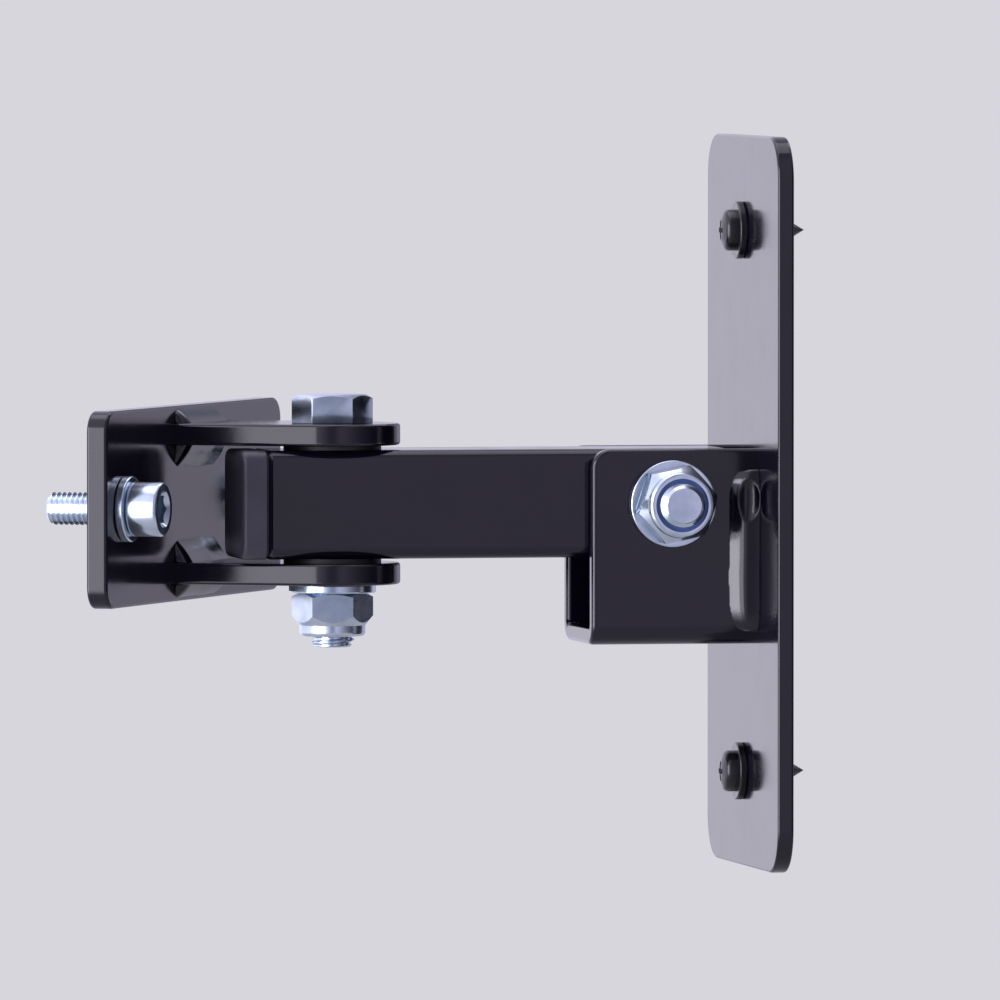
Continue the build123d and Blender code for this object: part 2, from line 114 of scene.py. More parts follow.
class Bench:
    """The modelling moves that the pieces share, each made with Blender's own operators."""

    @staticmethod
    def clear() -> None:
        """Deselect everything."""
        bpy.ops.object.select_all(action="DESELECT")

    @staticmethod
    def pick(piece: bpy.types.Object) -> None:
        """Select one piece alone and make it active.

        Args:
            piece: The piece to work on.
        """
        Bench.clear()
        piece.select_set(True)
        bpy.context.view_layer.objects.active = piece

    @staticmethod
    def choose(piece: bpy.types.Object, wanted: Callable[[Vector], bool]) -> None:
        """Select the vertices of a piece by their place.

        Args:
            piece: The mesh object, which becomes active.
            wanted: Says of a vertex's place whether it is selected.
        """
        Bench.pick(piece)
        for kind in (piece.data.vertices, piece.data.edges, piece.data.polygons):
            kind.foreach_set("select", [False] * len(kind))
        for corner in piece.data.vertices:
            corner.select = wanted(corner.co)

    @staticmethod
    def modify(piece: bpy.types.Object, kind: str, **settings: object) -> None:
        """Add a modifier to a piece and apply it.

        Args:
            piece: The piece to change.
            kind: The modifier's type.
            settings: The modifier's own properties.
        """
        Bench.pick(piece)
        bpy.ops.object.modifier_add(type=kind)
        modifier = piece.modifiers[-1]
        for key, value in settings.items():
            setattr(modifier, key, value)
        bpy.ops.object.modifier_apply(modifier=modifier.name)

    @staticmethod
    def outline(name: str, points: Sequence[Point]) -> bpy.types.Object:
        """Draw an open line by extruding one vertex from point to point.

        Args:
            name: The new object's name.
            points: The corners of the line, in order.

        Returns:
            The line as a mesh object.
        """
        Bench.clear()
        bpy.ops.mesh.primitive_plane_add(size=MM)
        piece = bpy.context.object
        piece.name = name
        with editing(piece):
            bpy.ops.mesh.merge(type="CENTER")
            bpy.ops.transform.translate(value=points[0])
            for start, end in zip(points, points[1:]):
                step = Vector(end) - Vector(start)
                bpy.ops.mesh.extrude_region_move(TRANSFORM_OT_translate={"value": step})
        return piece

    @staticmethod
    def close_up(piece: bpy.types.Object) -> None:
        """Merge doubled vertices and point all faces outwards.

        Args:
            piece: The piece to close.
        """
        with editing(piece):
            bpy.ops.mesh.remove_doubles(threshold=MERGE_GAP)
            bpy.ops.mesh.normals_make_consistent(inside=False)

    @staticmethod
    def plug(piece: bpy.types.Object) -> None:
        """Fill the pinholes that a join has left in a piece.

        Args:
            piece: The piece to close.
        """
        with editing(piece):
            bpy.ops.mesh.fill_holes(sides=0)
        Bench.close_up(piece)

    @staticmethod
    def turned(name: str, profile: Sequence[Pair], steps: int = 72) -> bpy.types.Object:
        """Turn a profile round the Z axis, as on a lathe.

        Args:
            name: The new object's name.
            profile: Radius and height of each corner, from the axis back to the axis.
            steps: How many faces go round.

        Returns:
            A closed solid of revolution.
        """
        piece = Bench.outline(name, [(radius, 0.0, height) for radius, height in profile])
        with editing(piece):
            bpy.ops.mesh.spin(steps=steps, angle=FULL_TURN, center=(0, 0, 0), axis=(0, 0, 1))
        Bench.close_up(piece)
        return piece

    @staticmethod
    def prism(name: str, sides: int, corner_radius: float, bottom: float, top: float) -> bpy.types.Object:
        """Add an upright prism with one corner on the +X side.

        Args:
            name: The new object's name.
            sides: Number of flat sides.
            corner_radius: Distance of the corners from the axis.
            bottom: Height of its lower face.
            top: Height of its upper face.

        Returns:
            The prism.
        """
        Bench.clear()
        bpy.ops.mesh.primitive_cylinder_add(
            vertices=sides,
            radius=corner_radius,
            depth=top - bottom,
            location=(0, 0, (top + bottom) / 2),
            rotation=(0, 0, -QUARTER_TURN),
        )
        piece = bpy.context.object
        piece.name = name
        Bench.settle(piece, AT_ORIGIN)
        return piece

    @staticmethod
    def combine(piece: bpy.types.Object, tool: bpy.types.Object, cut: Cut) -> None:
        """Let a tool solid add to a piece, cut it or bound it, and throw the tool away."""
        Bench.modify(piece, "BOOLEAN", operation=cut.value, solver="EXACT", object=tool)
        bpy.data.objects.remove(tool, do_unlink=True)

    @staticmethod
    def soften(piece: bpy.types.Object, width: float, angle: float = 28.0, segments: int = 2) -> None:
        """Round off the edges of a piece that turn by more than an angle in degrees."""
        limit = math.radians(angle)
        Bench.modify(piece, "BEVEL", width=width, segments=segments, limit_method="ANGLE", angle_limit=limit)

    @staticmethod
    def melt(piece: bpy.types.Object, grain: float, passes: int) -> None:
        """Make one even skin of a grain's size round a closed piece, and smooth it in passes."""
        Bench.modify(piece, "REMESH", mode="VOXEL", voxel_size=grain)
        Bench.modify(piece, "SMOOTH", iterations=passes)

    @staticmethod
    def settle(piece: bpy.types.Object, place: Matrix) -> None:
        """Move a piece to its place and put that place into its mesh.

        Args:
            piece: The finished piece.
            place: Where its own origin and axes go.
        """
        Bench.pick(piece)
        piece.matrix_world = place @ piece.matrix_world
        bpy.ops.object.transform_apply(location=True, rotation=True, scale=True)

    @staticmethod
    def smooth(piece: bpy.types.Object, angle: float = 32.0) -> None:
        """Shade a piece smooth across edges that turn by less than an angle in degrees."""
        Bench.pick(piece)
        bpy.ops.object.shade_smooth_by_angle(angle=math.radians(angle))


def seat_matrix(origin: Sequence[float], x_axis: Sequence[float], z_axis: Sequence[float]) -> Matrix:
    """Make the matrix of a seat from its origin, its X axis and the axis that stands on it.

    Args:
        origin: A point in the frame, in metres.
        x_axis: Direction of the seat's own X.
        z_axis: Direction that stands on the seat.

    Returns:
        The seat's matrix.
    """
    z = Vector(z_axis).normalized()
    x = Vector(x_axis).normalized()
    y = z.cross(x)
    turn = Matrix((x, y, z)).transposed().to_4x4()
    return Matrix.Translation(Vector(origin)) @ turn


def hex_corner(flats: float) -> float:
    """Give the corner radius of a hexagon from its width across flats."""
    return flats / math.sqrt(3)


def opaque(colour: Colour) -> tuple[float, float, float, float]:
    """Add full opacity to a colour."""
    return (*colour, 1.0)


class Sketch:
    """Adds nodes to one shader tree and links them."""

    # The Mix node's sockets share their names, so they go by their index.
    SHARE = 0
    VALUES = (2, 3)
    COLOURS = (6, 7)
    MIXED_VALUE = 0
    MIXED_COLOUR = 2

    def __init__(self, tree: bpy.types.NodeTree) -> None:
        """Start on a tree, which is emptied first."""
        self.tree = tree
        tree.nodes.clear()

    def add(self, kind: str, inputs: dict | None = None, **settings: object) -> bpy.types.Node:
        """Add a node.

        Args:
            kind: The node's type, without the ShaderNode prefix.
            inputs: Values or sockets for its inputs, by name or index.
            settings: The node's own properties.

        Returns:
            The new node.
        """
        node = self.tree.nodes.new(kind if kind.startswith("NodeGroup") else "ShaderNode" + kind)
        for key, value in settings.items():
            setattr(node, key, value)
        for key, value in (inputs or {}).items():
            if isinstance(value, Socket):
                self.tree.links.new(value, node.inputs[key])
            else:
                node.inputs[key].default_value = value
        return node

    def math(self, operation: str, first: object, second: object = 0.0, clamp: bool = False) -> Socket:
        """Work on two values or sockets with a Math node, and hold the result in 0 to 1 if asked."""
        return self.add("Math", {0: first, 1: second}, operation=operation, use_clamp=clamp).outputs[0]

    def place(self) -> Socket:
        """Give the piece's own coordinates."""
        return self.add("TexCoord").outputs["Object"]

    def noise(self, place: Socket, scale: object, detail: float) -> Socket:
        """Give a noise over a place, at a scale and a level of detail."""
        return self.add("TexNoise", {"Vector": place, "Scale": scale, "Detail": detail}).outputs["Fac"]

    def stretch(
        self, value: Socket, span: Pair, limits: Sequence[object] = (0.0, 1.0), **settings: object
    ) -> Socket:
        """Stretch a span of values to new limits.

        Args:
            value: The value to stretch.
            span: The lowest and highest value that count.
            limits: The values or sockets that they become.
            settings: The node's own properties.

        Returns:
            The stretched value.
        """
        inputs = {"Value": value, "From Min": span[0], "From Max": span[1]}
        inputs.update({"To Min": limits[0], "To Max": limits[1]})
        return self.add("MapRange", inputs, **settings).outputs["Result"]

    def mix_colours(self, share: Socket, first: object, second: object) -> Socket:
        """Mix two colours by a share."""
        inputs = {self.SHARE: share, self.COLOURS[0]: first, self.COLOURS[1]: second}
        return self.add("Mix", inputs, data_type="RGBA").outputs[self.MIXED_COLOUR]

    def mix_values(self, share: Socket, first: object, second: object) -> Socket:
        """Mix two values by a share."""
        inputs = {self.SHARE: share, self.VALUES[0]: first, self.VALUES[1]: second}
        return self.add("Mix", inputs).outputs[self.MIXED_VALUE]

    def mix_shaders(self, share: Socket, first: bpy.types.Node, second: bpy.types.Node) -> bpy.types.Node:
        """Mix the outputs of two shader nodes by a share."""
        return self.add("MixShader", {0: share, 1: first.outputs[0], 2: second.outputs[0]})

    def group(self, tree: bpy.types.NodeTree, inputs: dict[str, object]) -> Socket:
        """Place a shared group and give its one output."""
        return self.add("Group", inputs, node_tree=tree).outputs[0]


class GroupKit:
    """Shader groups that several finishes share, each built once."""

    TONE_DETAIL = 3.0
    TONE_SPAN = (0.32, 0.68)
    CLOUD_DETAIL = 4.0
    WIPE_STRETCH = (60.0, 900.0, 1400.0)
    WIPE_SCALE = 1.0
    WIPE_DETAIL = 2.0
    GLOSS_SPAN = (0.3, 0.9)
    WAVE_DETAIL = 1.0
    GRAIN_DETAIL = 2.0
    LYING_SPAN = (0.55, 1.0)
    SPECK_DETAIL = 8.0
    SPECK_SPAN = (0.4, 0.75)

    def __init__(self) -> None:
        """Build all the groups."""
        tones = {"Dark": "Color", "Light": "Color", "Scale": "Float"}
        limits = dict.fromkeys(("Low", "High", "Scale", "Streaks"), "Float")
        scales = dict.fromkeys(("Wave Scale", "Grain Scale", "Grain Share"), "Float")
        amounts = dict.fromkeys(("Amount", "Scale"), "Float")
        self.tone = self._group("Tone drift", tones, ("Color", "Color"), self._tone)
        self.gloss = self._group("Gloss drift", limits, ("Roughness", "Float"), self._gloss)
        self.peel = self._group("Surface peel", scales, ("Height", "Float"), self._peel)
        self.dust = self._group("Settled dust", amounts, ("Mask", "Float"), self._dust)

    @staticmethod
    def _group(
        name: str,
        inputs: dict[str, str],
        output: tuple[str, str],
        fill: Callable[[Sketch, Sockets], Socket],
    ) -> bpy.types.NodeTree:
        """Make a group with named sockets and let a method fill it.

        Args:
            name: The group's name.
            inputs: The type of each input, by name.
            output: Name and type of the one output.
            fill: Draws the group between its inputs and its output.

        Returns:
            The group's tree.
        """
        tree = bpy.data.node_groups.new(name, "ShaderNodeTree")
        for title, kind in inputs.items():
            tree.interface.new_socket(name=title, in_out="INPUT", socket_type="NodeSocket" + kind)
        title, kind = output
        tree.interface.new_socket(name=title, in_out="OUTPUT", socket_type="NodeSocket" + kind)
        sketch = Sketch(tree)
        given = sketch.add("NodeGroupInput").outputs
        sketch.add("NodeGroupOutput", {title: fill(sketch, given)})
        return tree

    def _tone(self, sketch: Sketch, given: Sockets) -> Socket:
        """Draw a colour that drifts slowly between a darker and a lighter tone."""
        cloud = sketch.noise(sketch.place(), given["Scale"], self.TONE_DETAIL)
        return sketch.mix_colours(sketch.stretch(cloud, self.TONE_SPAN), given["Dark"], given["Light"])

    def _gloss(self, sketch: Sketch, given: Sockets) -> Socket:
        """Draw a roughness that wanders between two values, with fine wiped streaks across it.

        Args:
            sketch: The group's tree.
            given: The group's inputs.

        Returns:
            The roughness.
        """
        place = sketch.place()
        cloud = sketch.noise(place, given["Scale"], self.CLOUD_DETAIL)
        drawn_out = sketch.add("Mapping", {"Vector": place, "Scale": self.WIPE_STRETCH}).outputs[0]
        wipe = sketch.noise(drawn_out, self.WIPE_SCALE, self.WIPE_DETAIL)
        blend = sketch.math("ADD", cloud, sketch.math("MULTIPLY", wipe, given["Streaks"]))
        return sketch.stretch(blend, self.GLOSS_SPAN, (given["Low"], given["High"]))

    def _peel(self, sketch: Sketch, given: Sockets) -> Socket:
        """Draw the height of a sprayed, moulded or plated skin: soft waves with a finer grain on them.

        Args:
            sketch: The group's tree.
            given: The group's inputs.

        Returns:
            The height.
        """
        place = sketch.place()
        wave = sketch.noise(place, given["Wave Scale"], self.WAVE_DETAIL)
        grain = sketch.noise(place, given["Grain Scale"], self.GRAIN_DETAIL)
        return sketch.math("ADD", wave, sketch.math("MULTIPLY", grain, given["Grain Share"]))

    def _dust(self, sketch: Sketch, given: Sockets) -> Socket:
        """Draw a mask of light dust that lies on faces which look up.

        Args:
            sketch: The group's tree.
            given: The group's inputs.

        Returns:
            The mask.
        """
        normal = sketch.add("NewGeometry").outputs["Normal"]
        upward = sketch.add("SeparateXYZ", {0: normal}).outputs["Z"]
        lying = sketch.stretch(upward, self.LYING_SPAN)
        specks = sketch.noise(sketch.place(), given["Scale"], self.SPECK_DETAIL)
        mask = sketch.math("MULTIPLY", lying, sketch.stretch(specks, self.SPECK_SPAN))
        return sketch.math("MULTIPLY", mask, given["Amount"], clamp=True)


@dataclass(frozen=True)
class Finish:
    """One surface finish, from which a material is made."""

    name: str
    dark: Colour
    light: Colour
    roughness: Pair
    tone_scale: float = 60.0
    gloss_scale: float = 140.0
    streaks: float = 0.25
    wave_scale: float = 700.0
    grain_scale: float = 3000.0
    grain_share: float = 0.25
    peel_height: float = 0.004 * MM
    dust: float = 0.0
    metallic: float = 0.0
    ior: float = 1.5

    DUST_COLOUR = (0.30, 0.29, 0.28)
    DUST_ROUGHNESS = 0.85
    DUST_SCALE = 420.0

    def material(self, kit: GroupKit) -> bpy.types.Material:
        """Make the material.

        Args:
            kit: The shared shader groups.

        Returns:
            The material, ready to assign.
        """
        made = bpy.data.materials.new(self.name)
        made.use_nodes = True
        sketch = Sketch(made.node_tree)
        tones = {"Dark": opaque(self.dark), "Light": opaque(self.light), "Scale": self.tone_scale}
        colour = sketch.group(kit.tone, tones)
        low, high = self.roughness
        gloss = {"Low": low, "High": high, "Scale": self.gloss_scale, "Streaks": self.streaks}
        rough = sketch.group(kit.gloss, gloss)
        waves = {"Wave Scale": self.wave_scale}
        grain = {"Grain Scale": self.grain_scale, "Grain Share": self.grain_share}
        peel = sketch.group(kit.peel, waves | grain)
        bump = sketch.add("Bump", {"Height": peel, "Distance": self.peel_height})
        if self.dust > 0:
            mask = sketch.group(kit.dust, {"Amount": self.dust, "Scale": self.DUST_SCALE})
            colour = sketch.mix_colours(mask, colour, opaque(self.DUST_COLOUR))
            rough = sketch.mix_values(mask, rough, self.DUST_ROUGHNESS)
        shader = sketch.add(
            "BsdfPrincipled",
            {
                "Base Color": colour,
                "Roughness": rough,
                "Normal": bump.outputs["Normal"],
                "Metallic": self.metallic,
                "IOR": self.ior,
            },
        )
        sketch.add("OutputMaterial", {"Surface": shader.outputs["BSDF"]})
        return made


FINISHES = {
    Slot.PAINT: Finish(
        "Gloss black powder coat",
        dark=(0.0028, 0.0016, 0.0074),
        light=(0.0042, 0.0026, 0.0112),
        roughness=(0.09, 0.17),
        dust=0.03,
    ),
    Slot.ZINC: Finish(
        "Bright zinc plate",
        dark=(0.47, 0.56, 0.66),
        light=(0.65, 0.73, 0.82),
        roughness=(0.13, 0.25),
        tone_scale=220.0,
        gloss_scale=260.0,
        streaks=0.2,
        wave_scale=170.0,
        grain_scale=900.0,
        grain_share=0.015,
        peel_height=0.05 * MM,
        metallic=1.0,
    ),
    Slot.BLUE_NYLON: Finish(
        "Blue nylon",
        dark=(0.060, 0.120, 0.34),
        light=(0.090, 0.165, 0.46),
        roughness=(0.34, 0.48),
        tone_scale=400.0,
    ),
    Slot.BLACK_NYLON: Finish(
        "Black nylon",
        dark=(0.010, 0.010, 0.011),
        light=(0.016, 0.016, 0.017),
        roughness=(0.45, 0.6),
        tone_scale=300.0,
    ),
    Slot.CAP_PLASTIC: Finish(
        "Satin cap plastic",
        dark=(0.042, 0.040, 0.062),
        light=(0.054, 0.052, 0.078),
        roughness=(0.33, 0.44),
        tone_scale=180.0,
        wave_scale=2200.0,
        grain_scale=6500.0,
        grain_share=0.7,
        peel_height=0.006 * MM,
        dust=0.05,
    ),
    Slot.BLACK_SCREW: Finish(
        "Black phosphated steel",
        dark=(0.004, 0.004, 0.006),
        light=(0.010, 0.010, 0.013),
        roughness=(0.17, 0.30),
        tone_scale=500.0,
        gloss_scale=800.0,
        wave_scale=1800.0,
        grain_scale=7000.0,
        grain_share=0.6,
        peel_height=0.003 * MM,
    ),
}


class Wardrobe:
    """Holds the materials and dresses pieces with them."""

    def __init__(self) -> None:
        """Make every material once."""
        kit = GroupKit()
        self.materials = {slot: finish.material(kit) for slot, finish in FINISHES.items()}

    def dress(self, piece: bpy.types.Object, slot: Slot) -> None:
        """Give a CAD node's object or a new piece the finish of one of the record's slots."""
        piece.data.materials.clear()
        piece.data.materials.append(self.materials[slot])

    def dress_frame(self) -> None:
        """Give every CAD node the finish that the record names for it."""
        for part in frame["record"]["subparts"]:
            self.dress(frame["nodes"][part["node"]], Slot(part["material_slot"]))

    def deliver(self, piece: bpy.types.Object, slot: Slot, body: Body) -> None:
        """Dress a new piece, set it on its body and report it.

        Args:
            piece: The finished piece, in place.
            slot: Its finish.
            body: The CAD body that carries it.
        """
        self.dress(piece, slot)
        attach(piece, body.value)
        log.info("%s: %d faces on %s", piece.name, len(piece.data.polygons), body.value)


@dataclass(frozen=True)
class Thread:
    """A screw thread with a pointed end, given by its radii at the crests, the roots and the tip."""

    major: float
    minor: float
    pitch: float
    point: float
    tip: float
    steps: int = 36

    ROOT_TOP = 0.25
    CREST_BOTTOM = 0.56
    CREST_TOP = 0.69
    SPARE_TURNS = 2

    def cut(self, top: float, end: float) -> bpy.types.Object:
        """Cut the thread between two heights on the Z axis.

        Args:
            top: Height of its upper end.
            end: Height of its point.

        Returns:
            The threaded rod as a closed solid.
        """
        rod = self._rod(top - end)
        Bench.settle(rod, Matrix.Translation((0, 0, top)))
        above = top + LAP
        outside = 2 * self.major
        shoulder = end + self.point
        profile = [(0, above), (outside, above), (outside, shoulder), (self.major, shoulder), (self.tip, end)]
        if self.tip > 0:
            profile.append((0, end))
        Bench.combine(rod, Bench.turned("blank", profile), Cut.KEEP)
        return rod

    def _rod(self, length: float) -> bpy.types.Object:
        """Screw one tooth round the axis, and cut both ends flat.

        Args:
            length: Length of the rod, from the origin down the -Z axis.

        Returns:
            The rod with blunt ends.
        """
        tooth = [
            (self.minor, 0.0),
            (self.minor, self.ROOT_TOP * self.pitch),
            (self.major, self.CREST_BOTTOM * self.pitch),
            (self.major, self.CREST_TOP * self.pitch),
            (self.minor, self.pitch),
        ]
        turns = math.ceil(length / self.pitch) + self.SPARE_TURNS
        start = -(turns - 1) * self.pitch
        rod = Bench.outline("thread", [(radius, 0.0, start + height) for radius, height in tooth])
        Bench.modify(
            rod,
            "SCREW",
            axis="Z",
            angle=FULL_TURN,
            screw_offset=self.pitch,
            iterations=turns,
            steps=self.steps,
            render_steps=self.steps,
        )
        Bench.close_up(rod)
        with editing(rod):
            for height, is_top in ((0.0, True), (-length, False)):
                bpy.ops.mesh.select_all(action="SELECT")
                bpy.ops.mesh.bisect(
                    plane_co=(0, 0, height),
                    plane_no=(0, 0, 1),
                    use_fill=True,
                    clear_outer=is_top,
                    clear_inner=not is_top,
                    threshold=CUT_GAP,
                )
        Bench.close_up(rod)
        return rod


@dataclass
class HexBolt:
    """A hexagon-head bolt, partly threaded, whose seat is the plane under its head."""

    length: float
    turn: float
    diameter: float = 8.0 * MM
    pitch: float = 1.25 * MM
    thread_depth: float = 0.68 * MM
    thread_length: float = 22.0 * MM
    point: float = 0.8 * MM
    flats: float = 13.0 * MM
    head_height: float = 5.3 * MM
    face_share: float = 0.95
    chamfer_angle: float = 30.0
    edge_width: float = 0.14 * MM

    def build(self, name: str, seat: Matrix) -> bpy.types.Object:
        """Model the bolt on its seat.

        Args:
            name: The piece's name.
            seat: The plane under the head, with Z out through the head.

        Returns:
            The bolt.
        """
        corner = hex_corner(self.flats)
        face = self.face_share * self.flats / 2
        slope = math.tan(math.radians(self.chamfer_angle))
        top = self.head_height
        peak = top + face * slope
        rim = corner + LAP
        bolt = Bench.prism(name, HEX_SIDES, corner, 0.0, top)
        Bench.soften(bolt, self.edge_width)
        cone = Bench.turned("head_cone", [(0, -LAP), (rim, -LAP), (rim, peak - rim * slope), (0, peak)])
        Bench.combine(bolt, cone, Cut.KEEP)
        Bench.settle(bolt, Matrix.Rotation(math.radians(self.turn), 4, "Z"))
        Bench.combine(bolt, self._shank(), Cut.ADD)
        Bench.settle(bolt, seat)
        Bench.smooth(bolt)
        return bolt

    def _shank(self) -> bpy.types.Object:
        """Model the plain shank with its threaded end.

        Returns:
            The shank, which starts inside the head.
        """
        radius = self.diameter / 2
        end = -self.length
        thread_top = end + self.thread_length
        shank = Bench.turned("shank", [(0, LAP), (radius, LAP), (radius, thread_top), (0, thread_top)])
        thread = Thread(radius, radius - self.thread_depth, self.pitch, self.point, radius - self.point)
        Bench.combine(shank, thread.cut(thread_top + LAP, end), Cut.ADD)
        return shank


@dataclass
class SocketScrew:
    """A socket-head screw that is plain through the plate and threaded beyond it."""

    grip: float
    reach: float
    diameter: float = 6.0 * MM
    shank_diameter: float = 5.4 * MM
    pitch: float = 1.0 * MM
    thread_depth: float = 0.55 * MM
    point: float = 0.8 * MM
    head_diameter: float = 10.0 * MM
    head_height: float = 6.0 * MM
    head_edge: float = 0.6 * MM
    socket_flats: float = 5.0 * MM
    socket_depth: float = 3.0 * MM
    socket_mouth: float = 0.45 * MM
    shank_lap: float = 0.4 * MM
    edge_angle: float = 80.0
    edge_segments: int = 4

    def build(self, name: str, seat: Matrix) -> bpy.types.Object:
        """Model the screw on its seat.

        Args:
            name: The piece's name.
            seat: The plane under the head, with Z out through the head.

        Returns:
            The screw.
        """
        head = self.head_diameter / 2
        shank = self.shank_diameter / 2
        top = self.head_height
        shank_end = -self.grip - self.shank_lap
        profile = [(0, top), (head, top), (head, 0), (shank, 0), (shank, shank_end), (0, shank_end)]
        screw = Bench.turned(name, profile)
        Bench.soften(screw, self.head_edge, self.edge_angle, self.edge_segments)
        corner = hex_corner(self.socket_flats)
        socket = Bench.prism("socket", HEX_SIDES, corner, top - self.socket_depth, top + LAP)
        Bench.combine(screw, socket, Cut.REMOVE)
        mouth = corner + self.socket_mouth
        cone = Bench.turned("mouth", [(0, top - mouth), (mouth + LAP, top + LAP), (0, top + LAP)])
        Bench.combine(screw, cone, Cut.REMOVE)
        radius = self.diameter / 2
        thread = Thread(radius, radius - self.thread_depth, self.pitch, self.point, radius - self.point)
        Bench.combine(screw, thread.cut(-self.grip, -self.grip - self.reach), Cut.ADD)
        Bench.settle(screw, seat)
        Bench.smooth(screw)
        return screw


@dataclass
class PanScrew:
    """A pan-head tapping screw with a cross recess and a coarse thread that runs to a point."""

    grip: float
    length: float = 13.0 * MM
    diameter: float = 4.2 * MM
    core_diameter: float = 3.1 * MM
    root_step: float = 0.06 * MM
    neck_lap: float = 0.8 * MM
    pitch: float = 1.5 * MM
    thread_steps: int = 32
    point: float = 3.5 * MM
    head_diameter: float = 7.6 * MM
    head_height: float = 2.8 * MM
    head_rise: float = 0.5 * MM
    head_corner: float = 1.0 * MM
    crown_shares: Sequence[float] = (0.0, 0.25, 0.5)
    corner_angles: Sequence[float] = (10.0, 30.0, 50.0, 70.0, 90.0)
    recess_span: float = 4.4 * MM
    recess_width: float = 1.1 * MM
    recess_depth: float = 1.6 * MM
    recess_taper: float = 0.55

    def build(self, name: str, seat: Matrix) -> bpy.types.Object:
        """Model the screw on its seat.

        Args:
            name: The piece's name.
            seat: The plane under the head, with Z out through the head.

        Returns:
            The screw.
        """
        screw = Bench.turned(name, self._head_profile())
        for turn in (0.0, QUARTER_TURN):
            Bench.combine(screw, self._recess_blade(turn), Cut.REMOVE)
        root = self.core_diameter / 2 - self.root_step
        thread = Thread(self.diameter / 2, root, self.pitch, self.point, 0.0, self.thread_steps)
        Bench.combine(screw, thread.cut(-self.grip, -self.length), Cut.ADD)
        Bench.plug(screw)
        Bench.settle(screw, seat)
        Bench.smooth(screw)
        return screw

    def _head_profile(self) -> list[Pair]:
        """Draw the pan head and the neck under it.

        Returns:
            Radius and height of each corner, from the crown to the neck's end.
        """
        head = self.head_diameter / 2
        core = self.core_diameter / 2
        corner = self.head_corner
        side = self.head_height - self.head_rise - corner
        crown = [(head * share, self.head_height - self.head_rise * share**2) for share in self.crown_shares]
        round_off = [
            (head - corner * (1 - math.sin(angle)), side + corner * math.cos(angle))
            for angle in map(math.radians, self.corner_angles)
        ]
        neck_end = -self.grip - self.neck_lap
        return [*crown, *round_off, (head, 0), (core, 0), (core, neck_end), (0, neck_end)]

    def _recess_blade(self, turn: float) -> bpy.types.Object:
        """Model one blade of the cross-shaped recess, which narrows towards its bottom.

        Args:
            turn: The blade's turn round the axis.

        Returns:
            The blade, which cuts half of the recess.
        """
        Bench.clear()
        depth = self.recess_depth + LAP
        bpy.ops.mesh.primitive_cube_add(size=1.0, location=(0, 0, self.head_height + LAP - depth / 2))
        blade = bpy.context.object
        blade.scale = (self.recess_span, self.recess_width, depth)
        blade.rotation_euler = (0, 0, turn)
        Bench.settle(blade, AT_ORIGIN)
        bottom = self.head_height - self.recess_depth
        Bench.choose(blade, lambda place: place.z < self.head_height)
        bpy.ops.object.mode_set(mode="EDIT")
        taper = (self.recess_taper, self.recess_taper, 1.0)
        bpy.ops.transform.resize(value=taper, center_override=(0, 0, bottom))
        bpy.ops.object.mode_set(mode="OBJECT")
        return blade


@dataclass(frozen=True)
class Crater:
    """A rounded hollow in a weld, placed in the weld's own frame and turned about its run."""

    place: Point
    depth: float
    width: float
    length: float
    turn: float

    BALL_RADIUS = 0.5
    BALL_SEGMENTS = 48
    BALL_RINGS = 24

    def tool(self) -> bpy.types.Object:
        """Model the rounded tool that cuts the crater.

        Returns:
            The tool, in place.
        """
        Bench.clear()
        bpy.ops.mesh.primitive_uv_sphere_add(
            segments=self.BALL_SEGMENTS, ring_count=self.BALL_RINGS, radius=self.BALL_RADIUS
        )
        tool = bpy.context.object
        tool.scale = (2 * self.depth, self.width, self.length)
        tool.rotation_euler = (0, 0, math.radians(self.turn))
        tool.location = self.place
        Bench.settle(tool, AT_ORIGIN)
        return tool


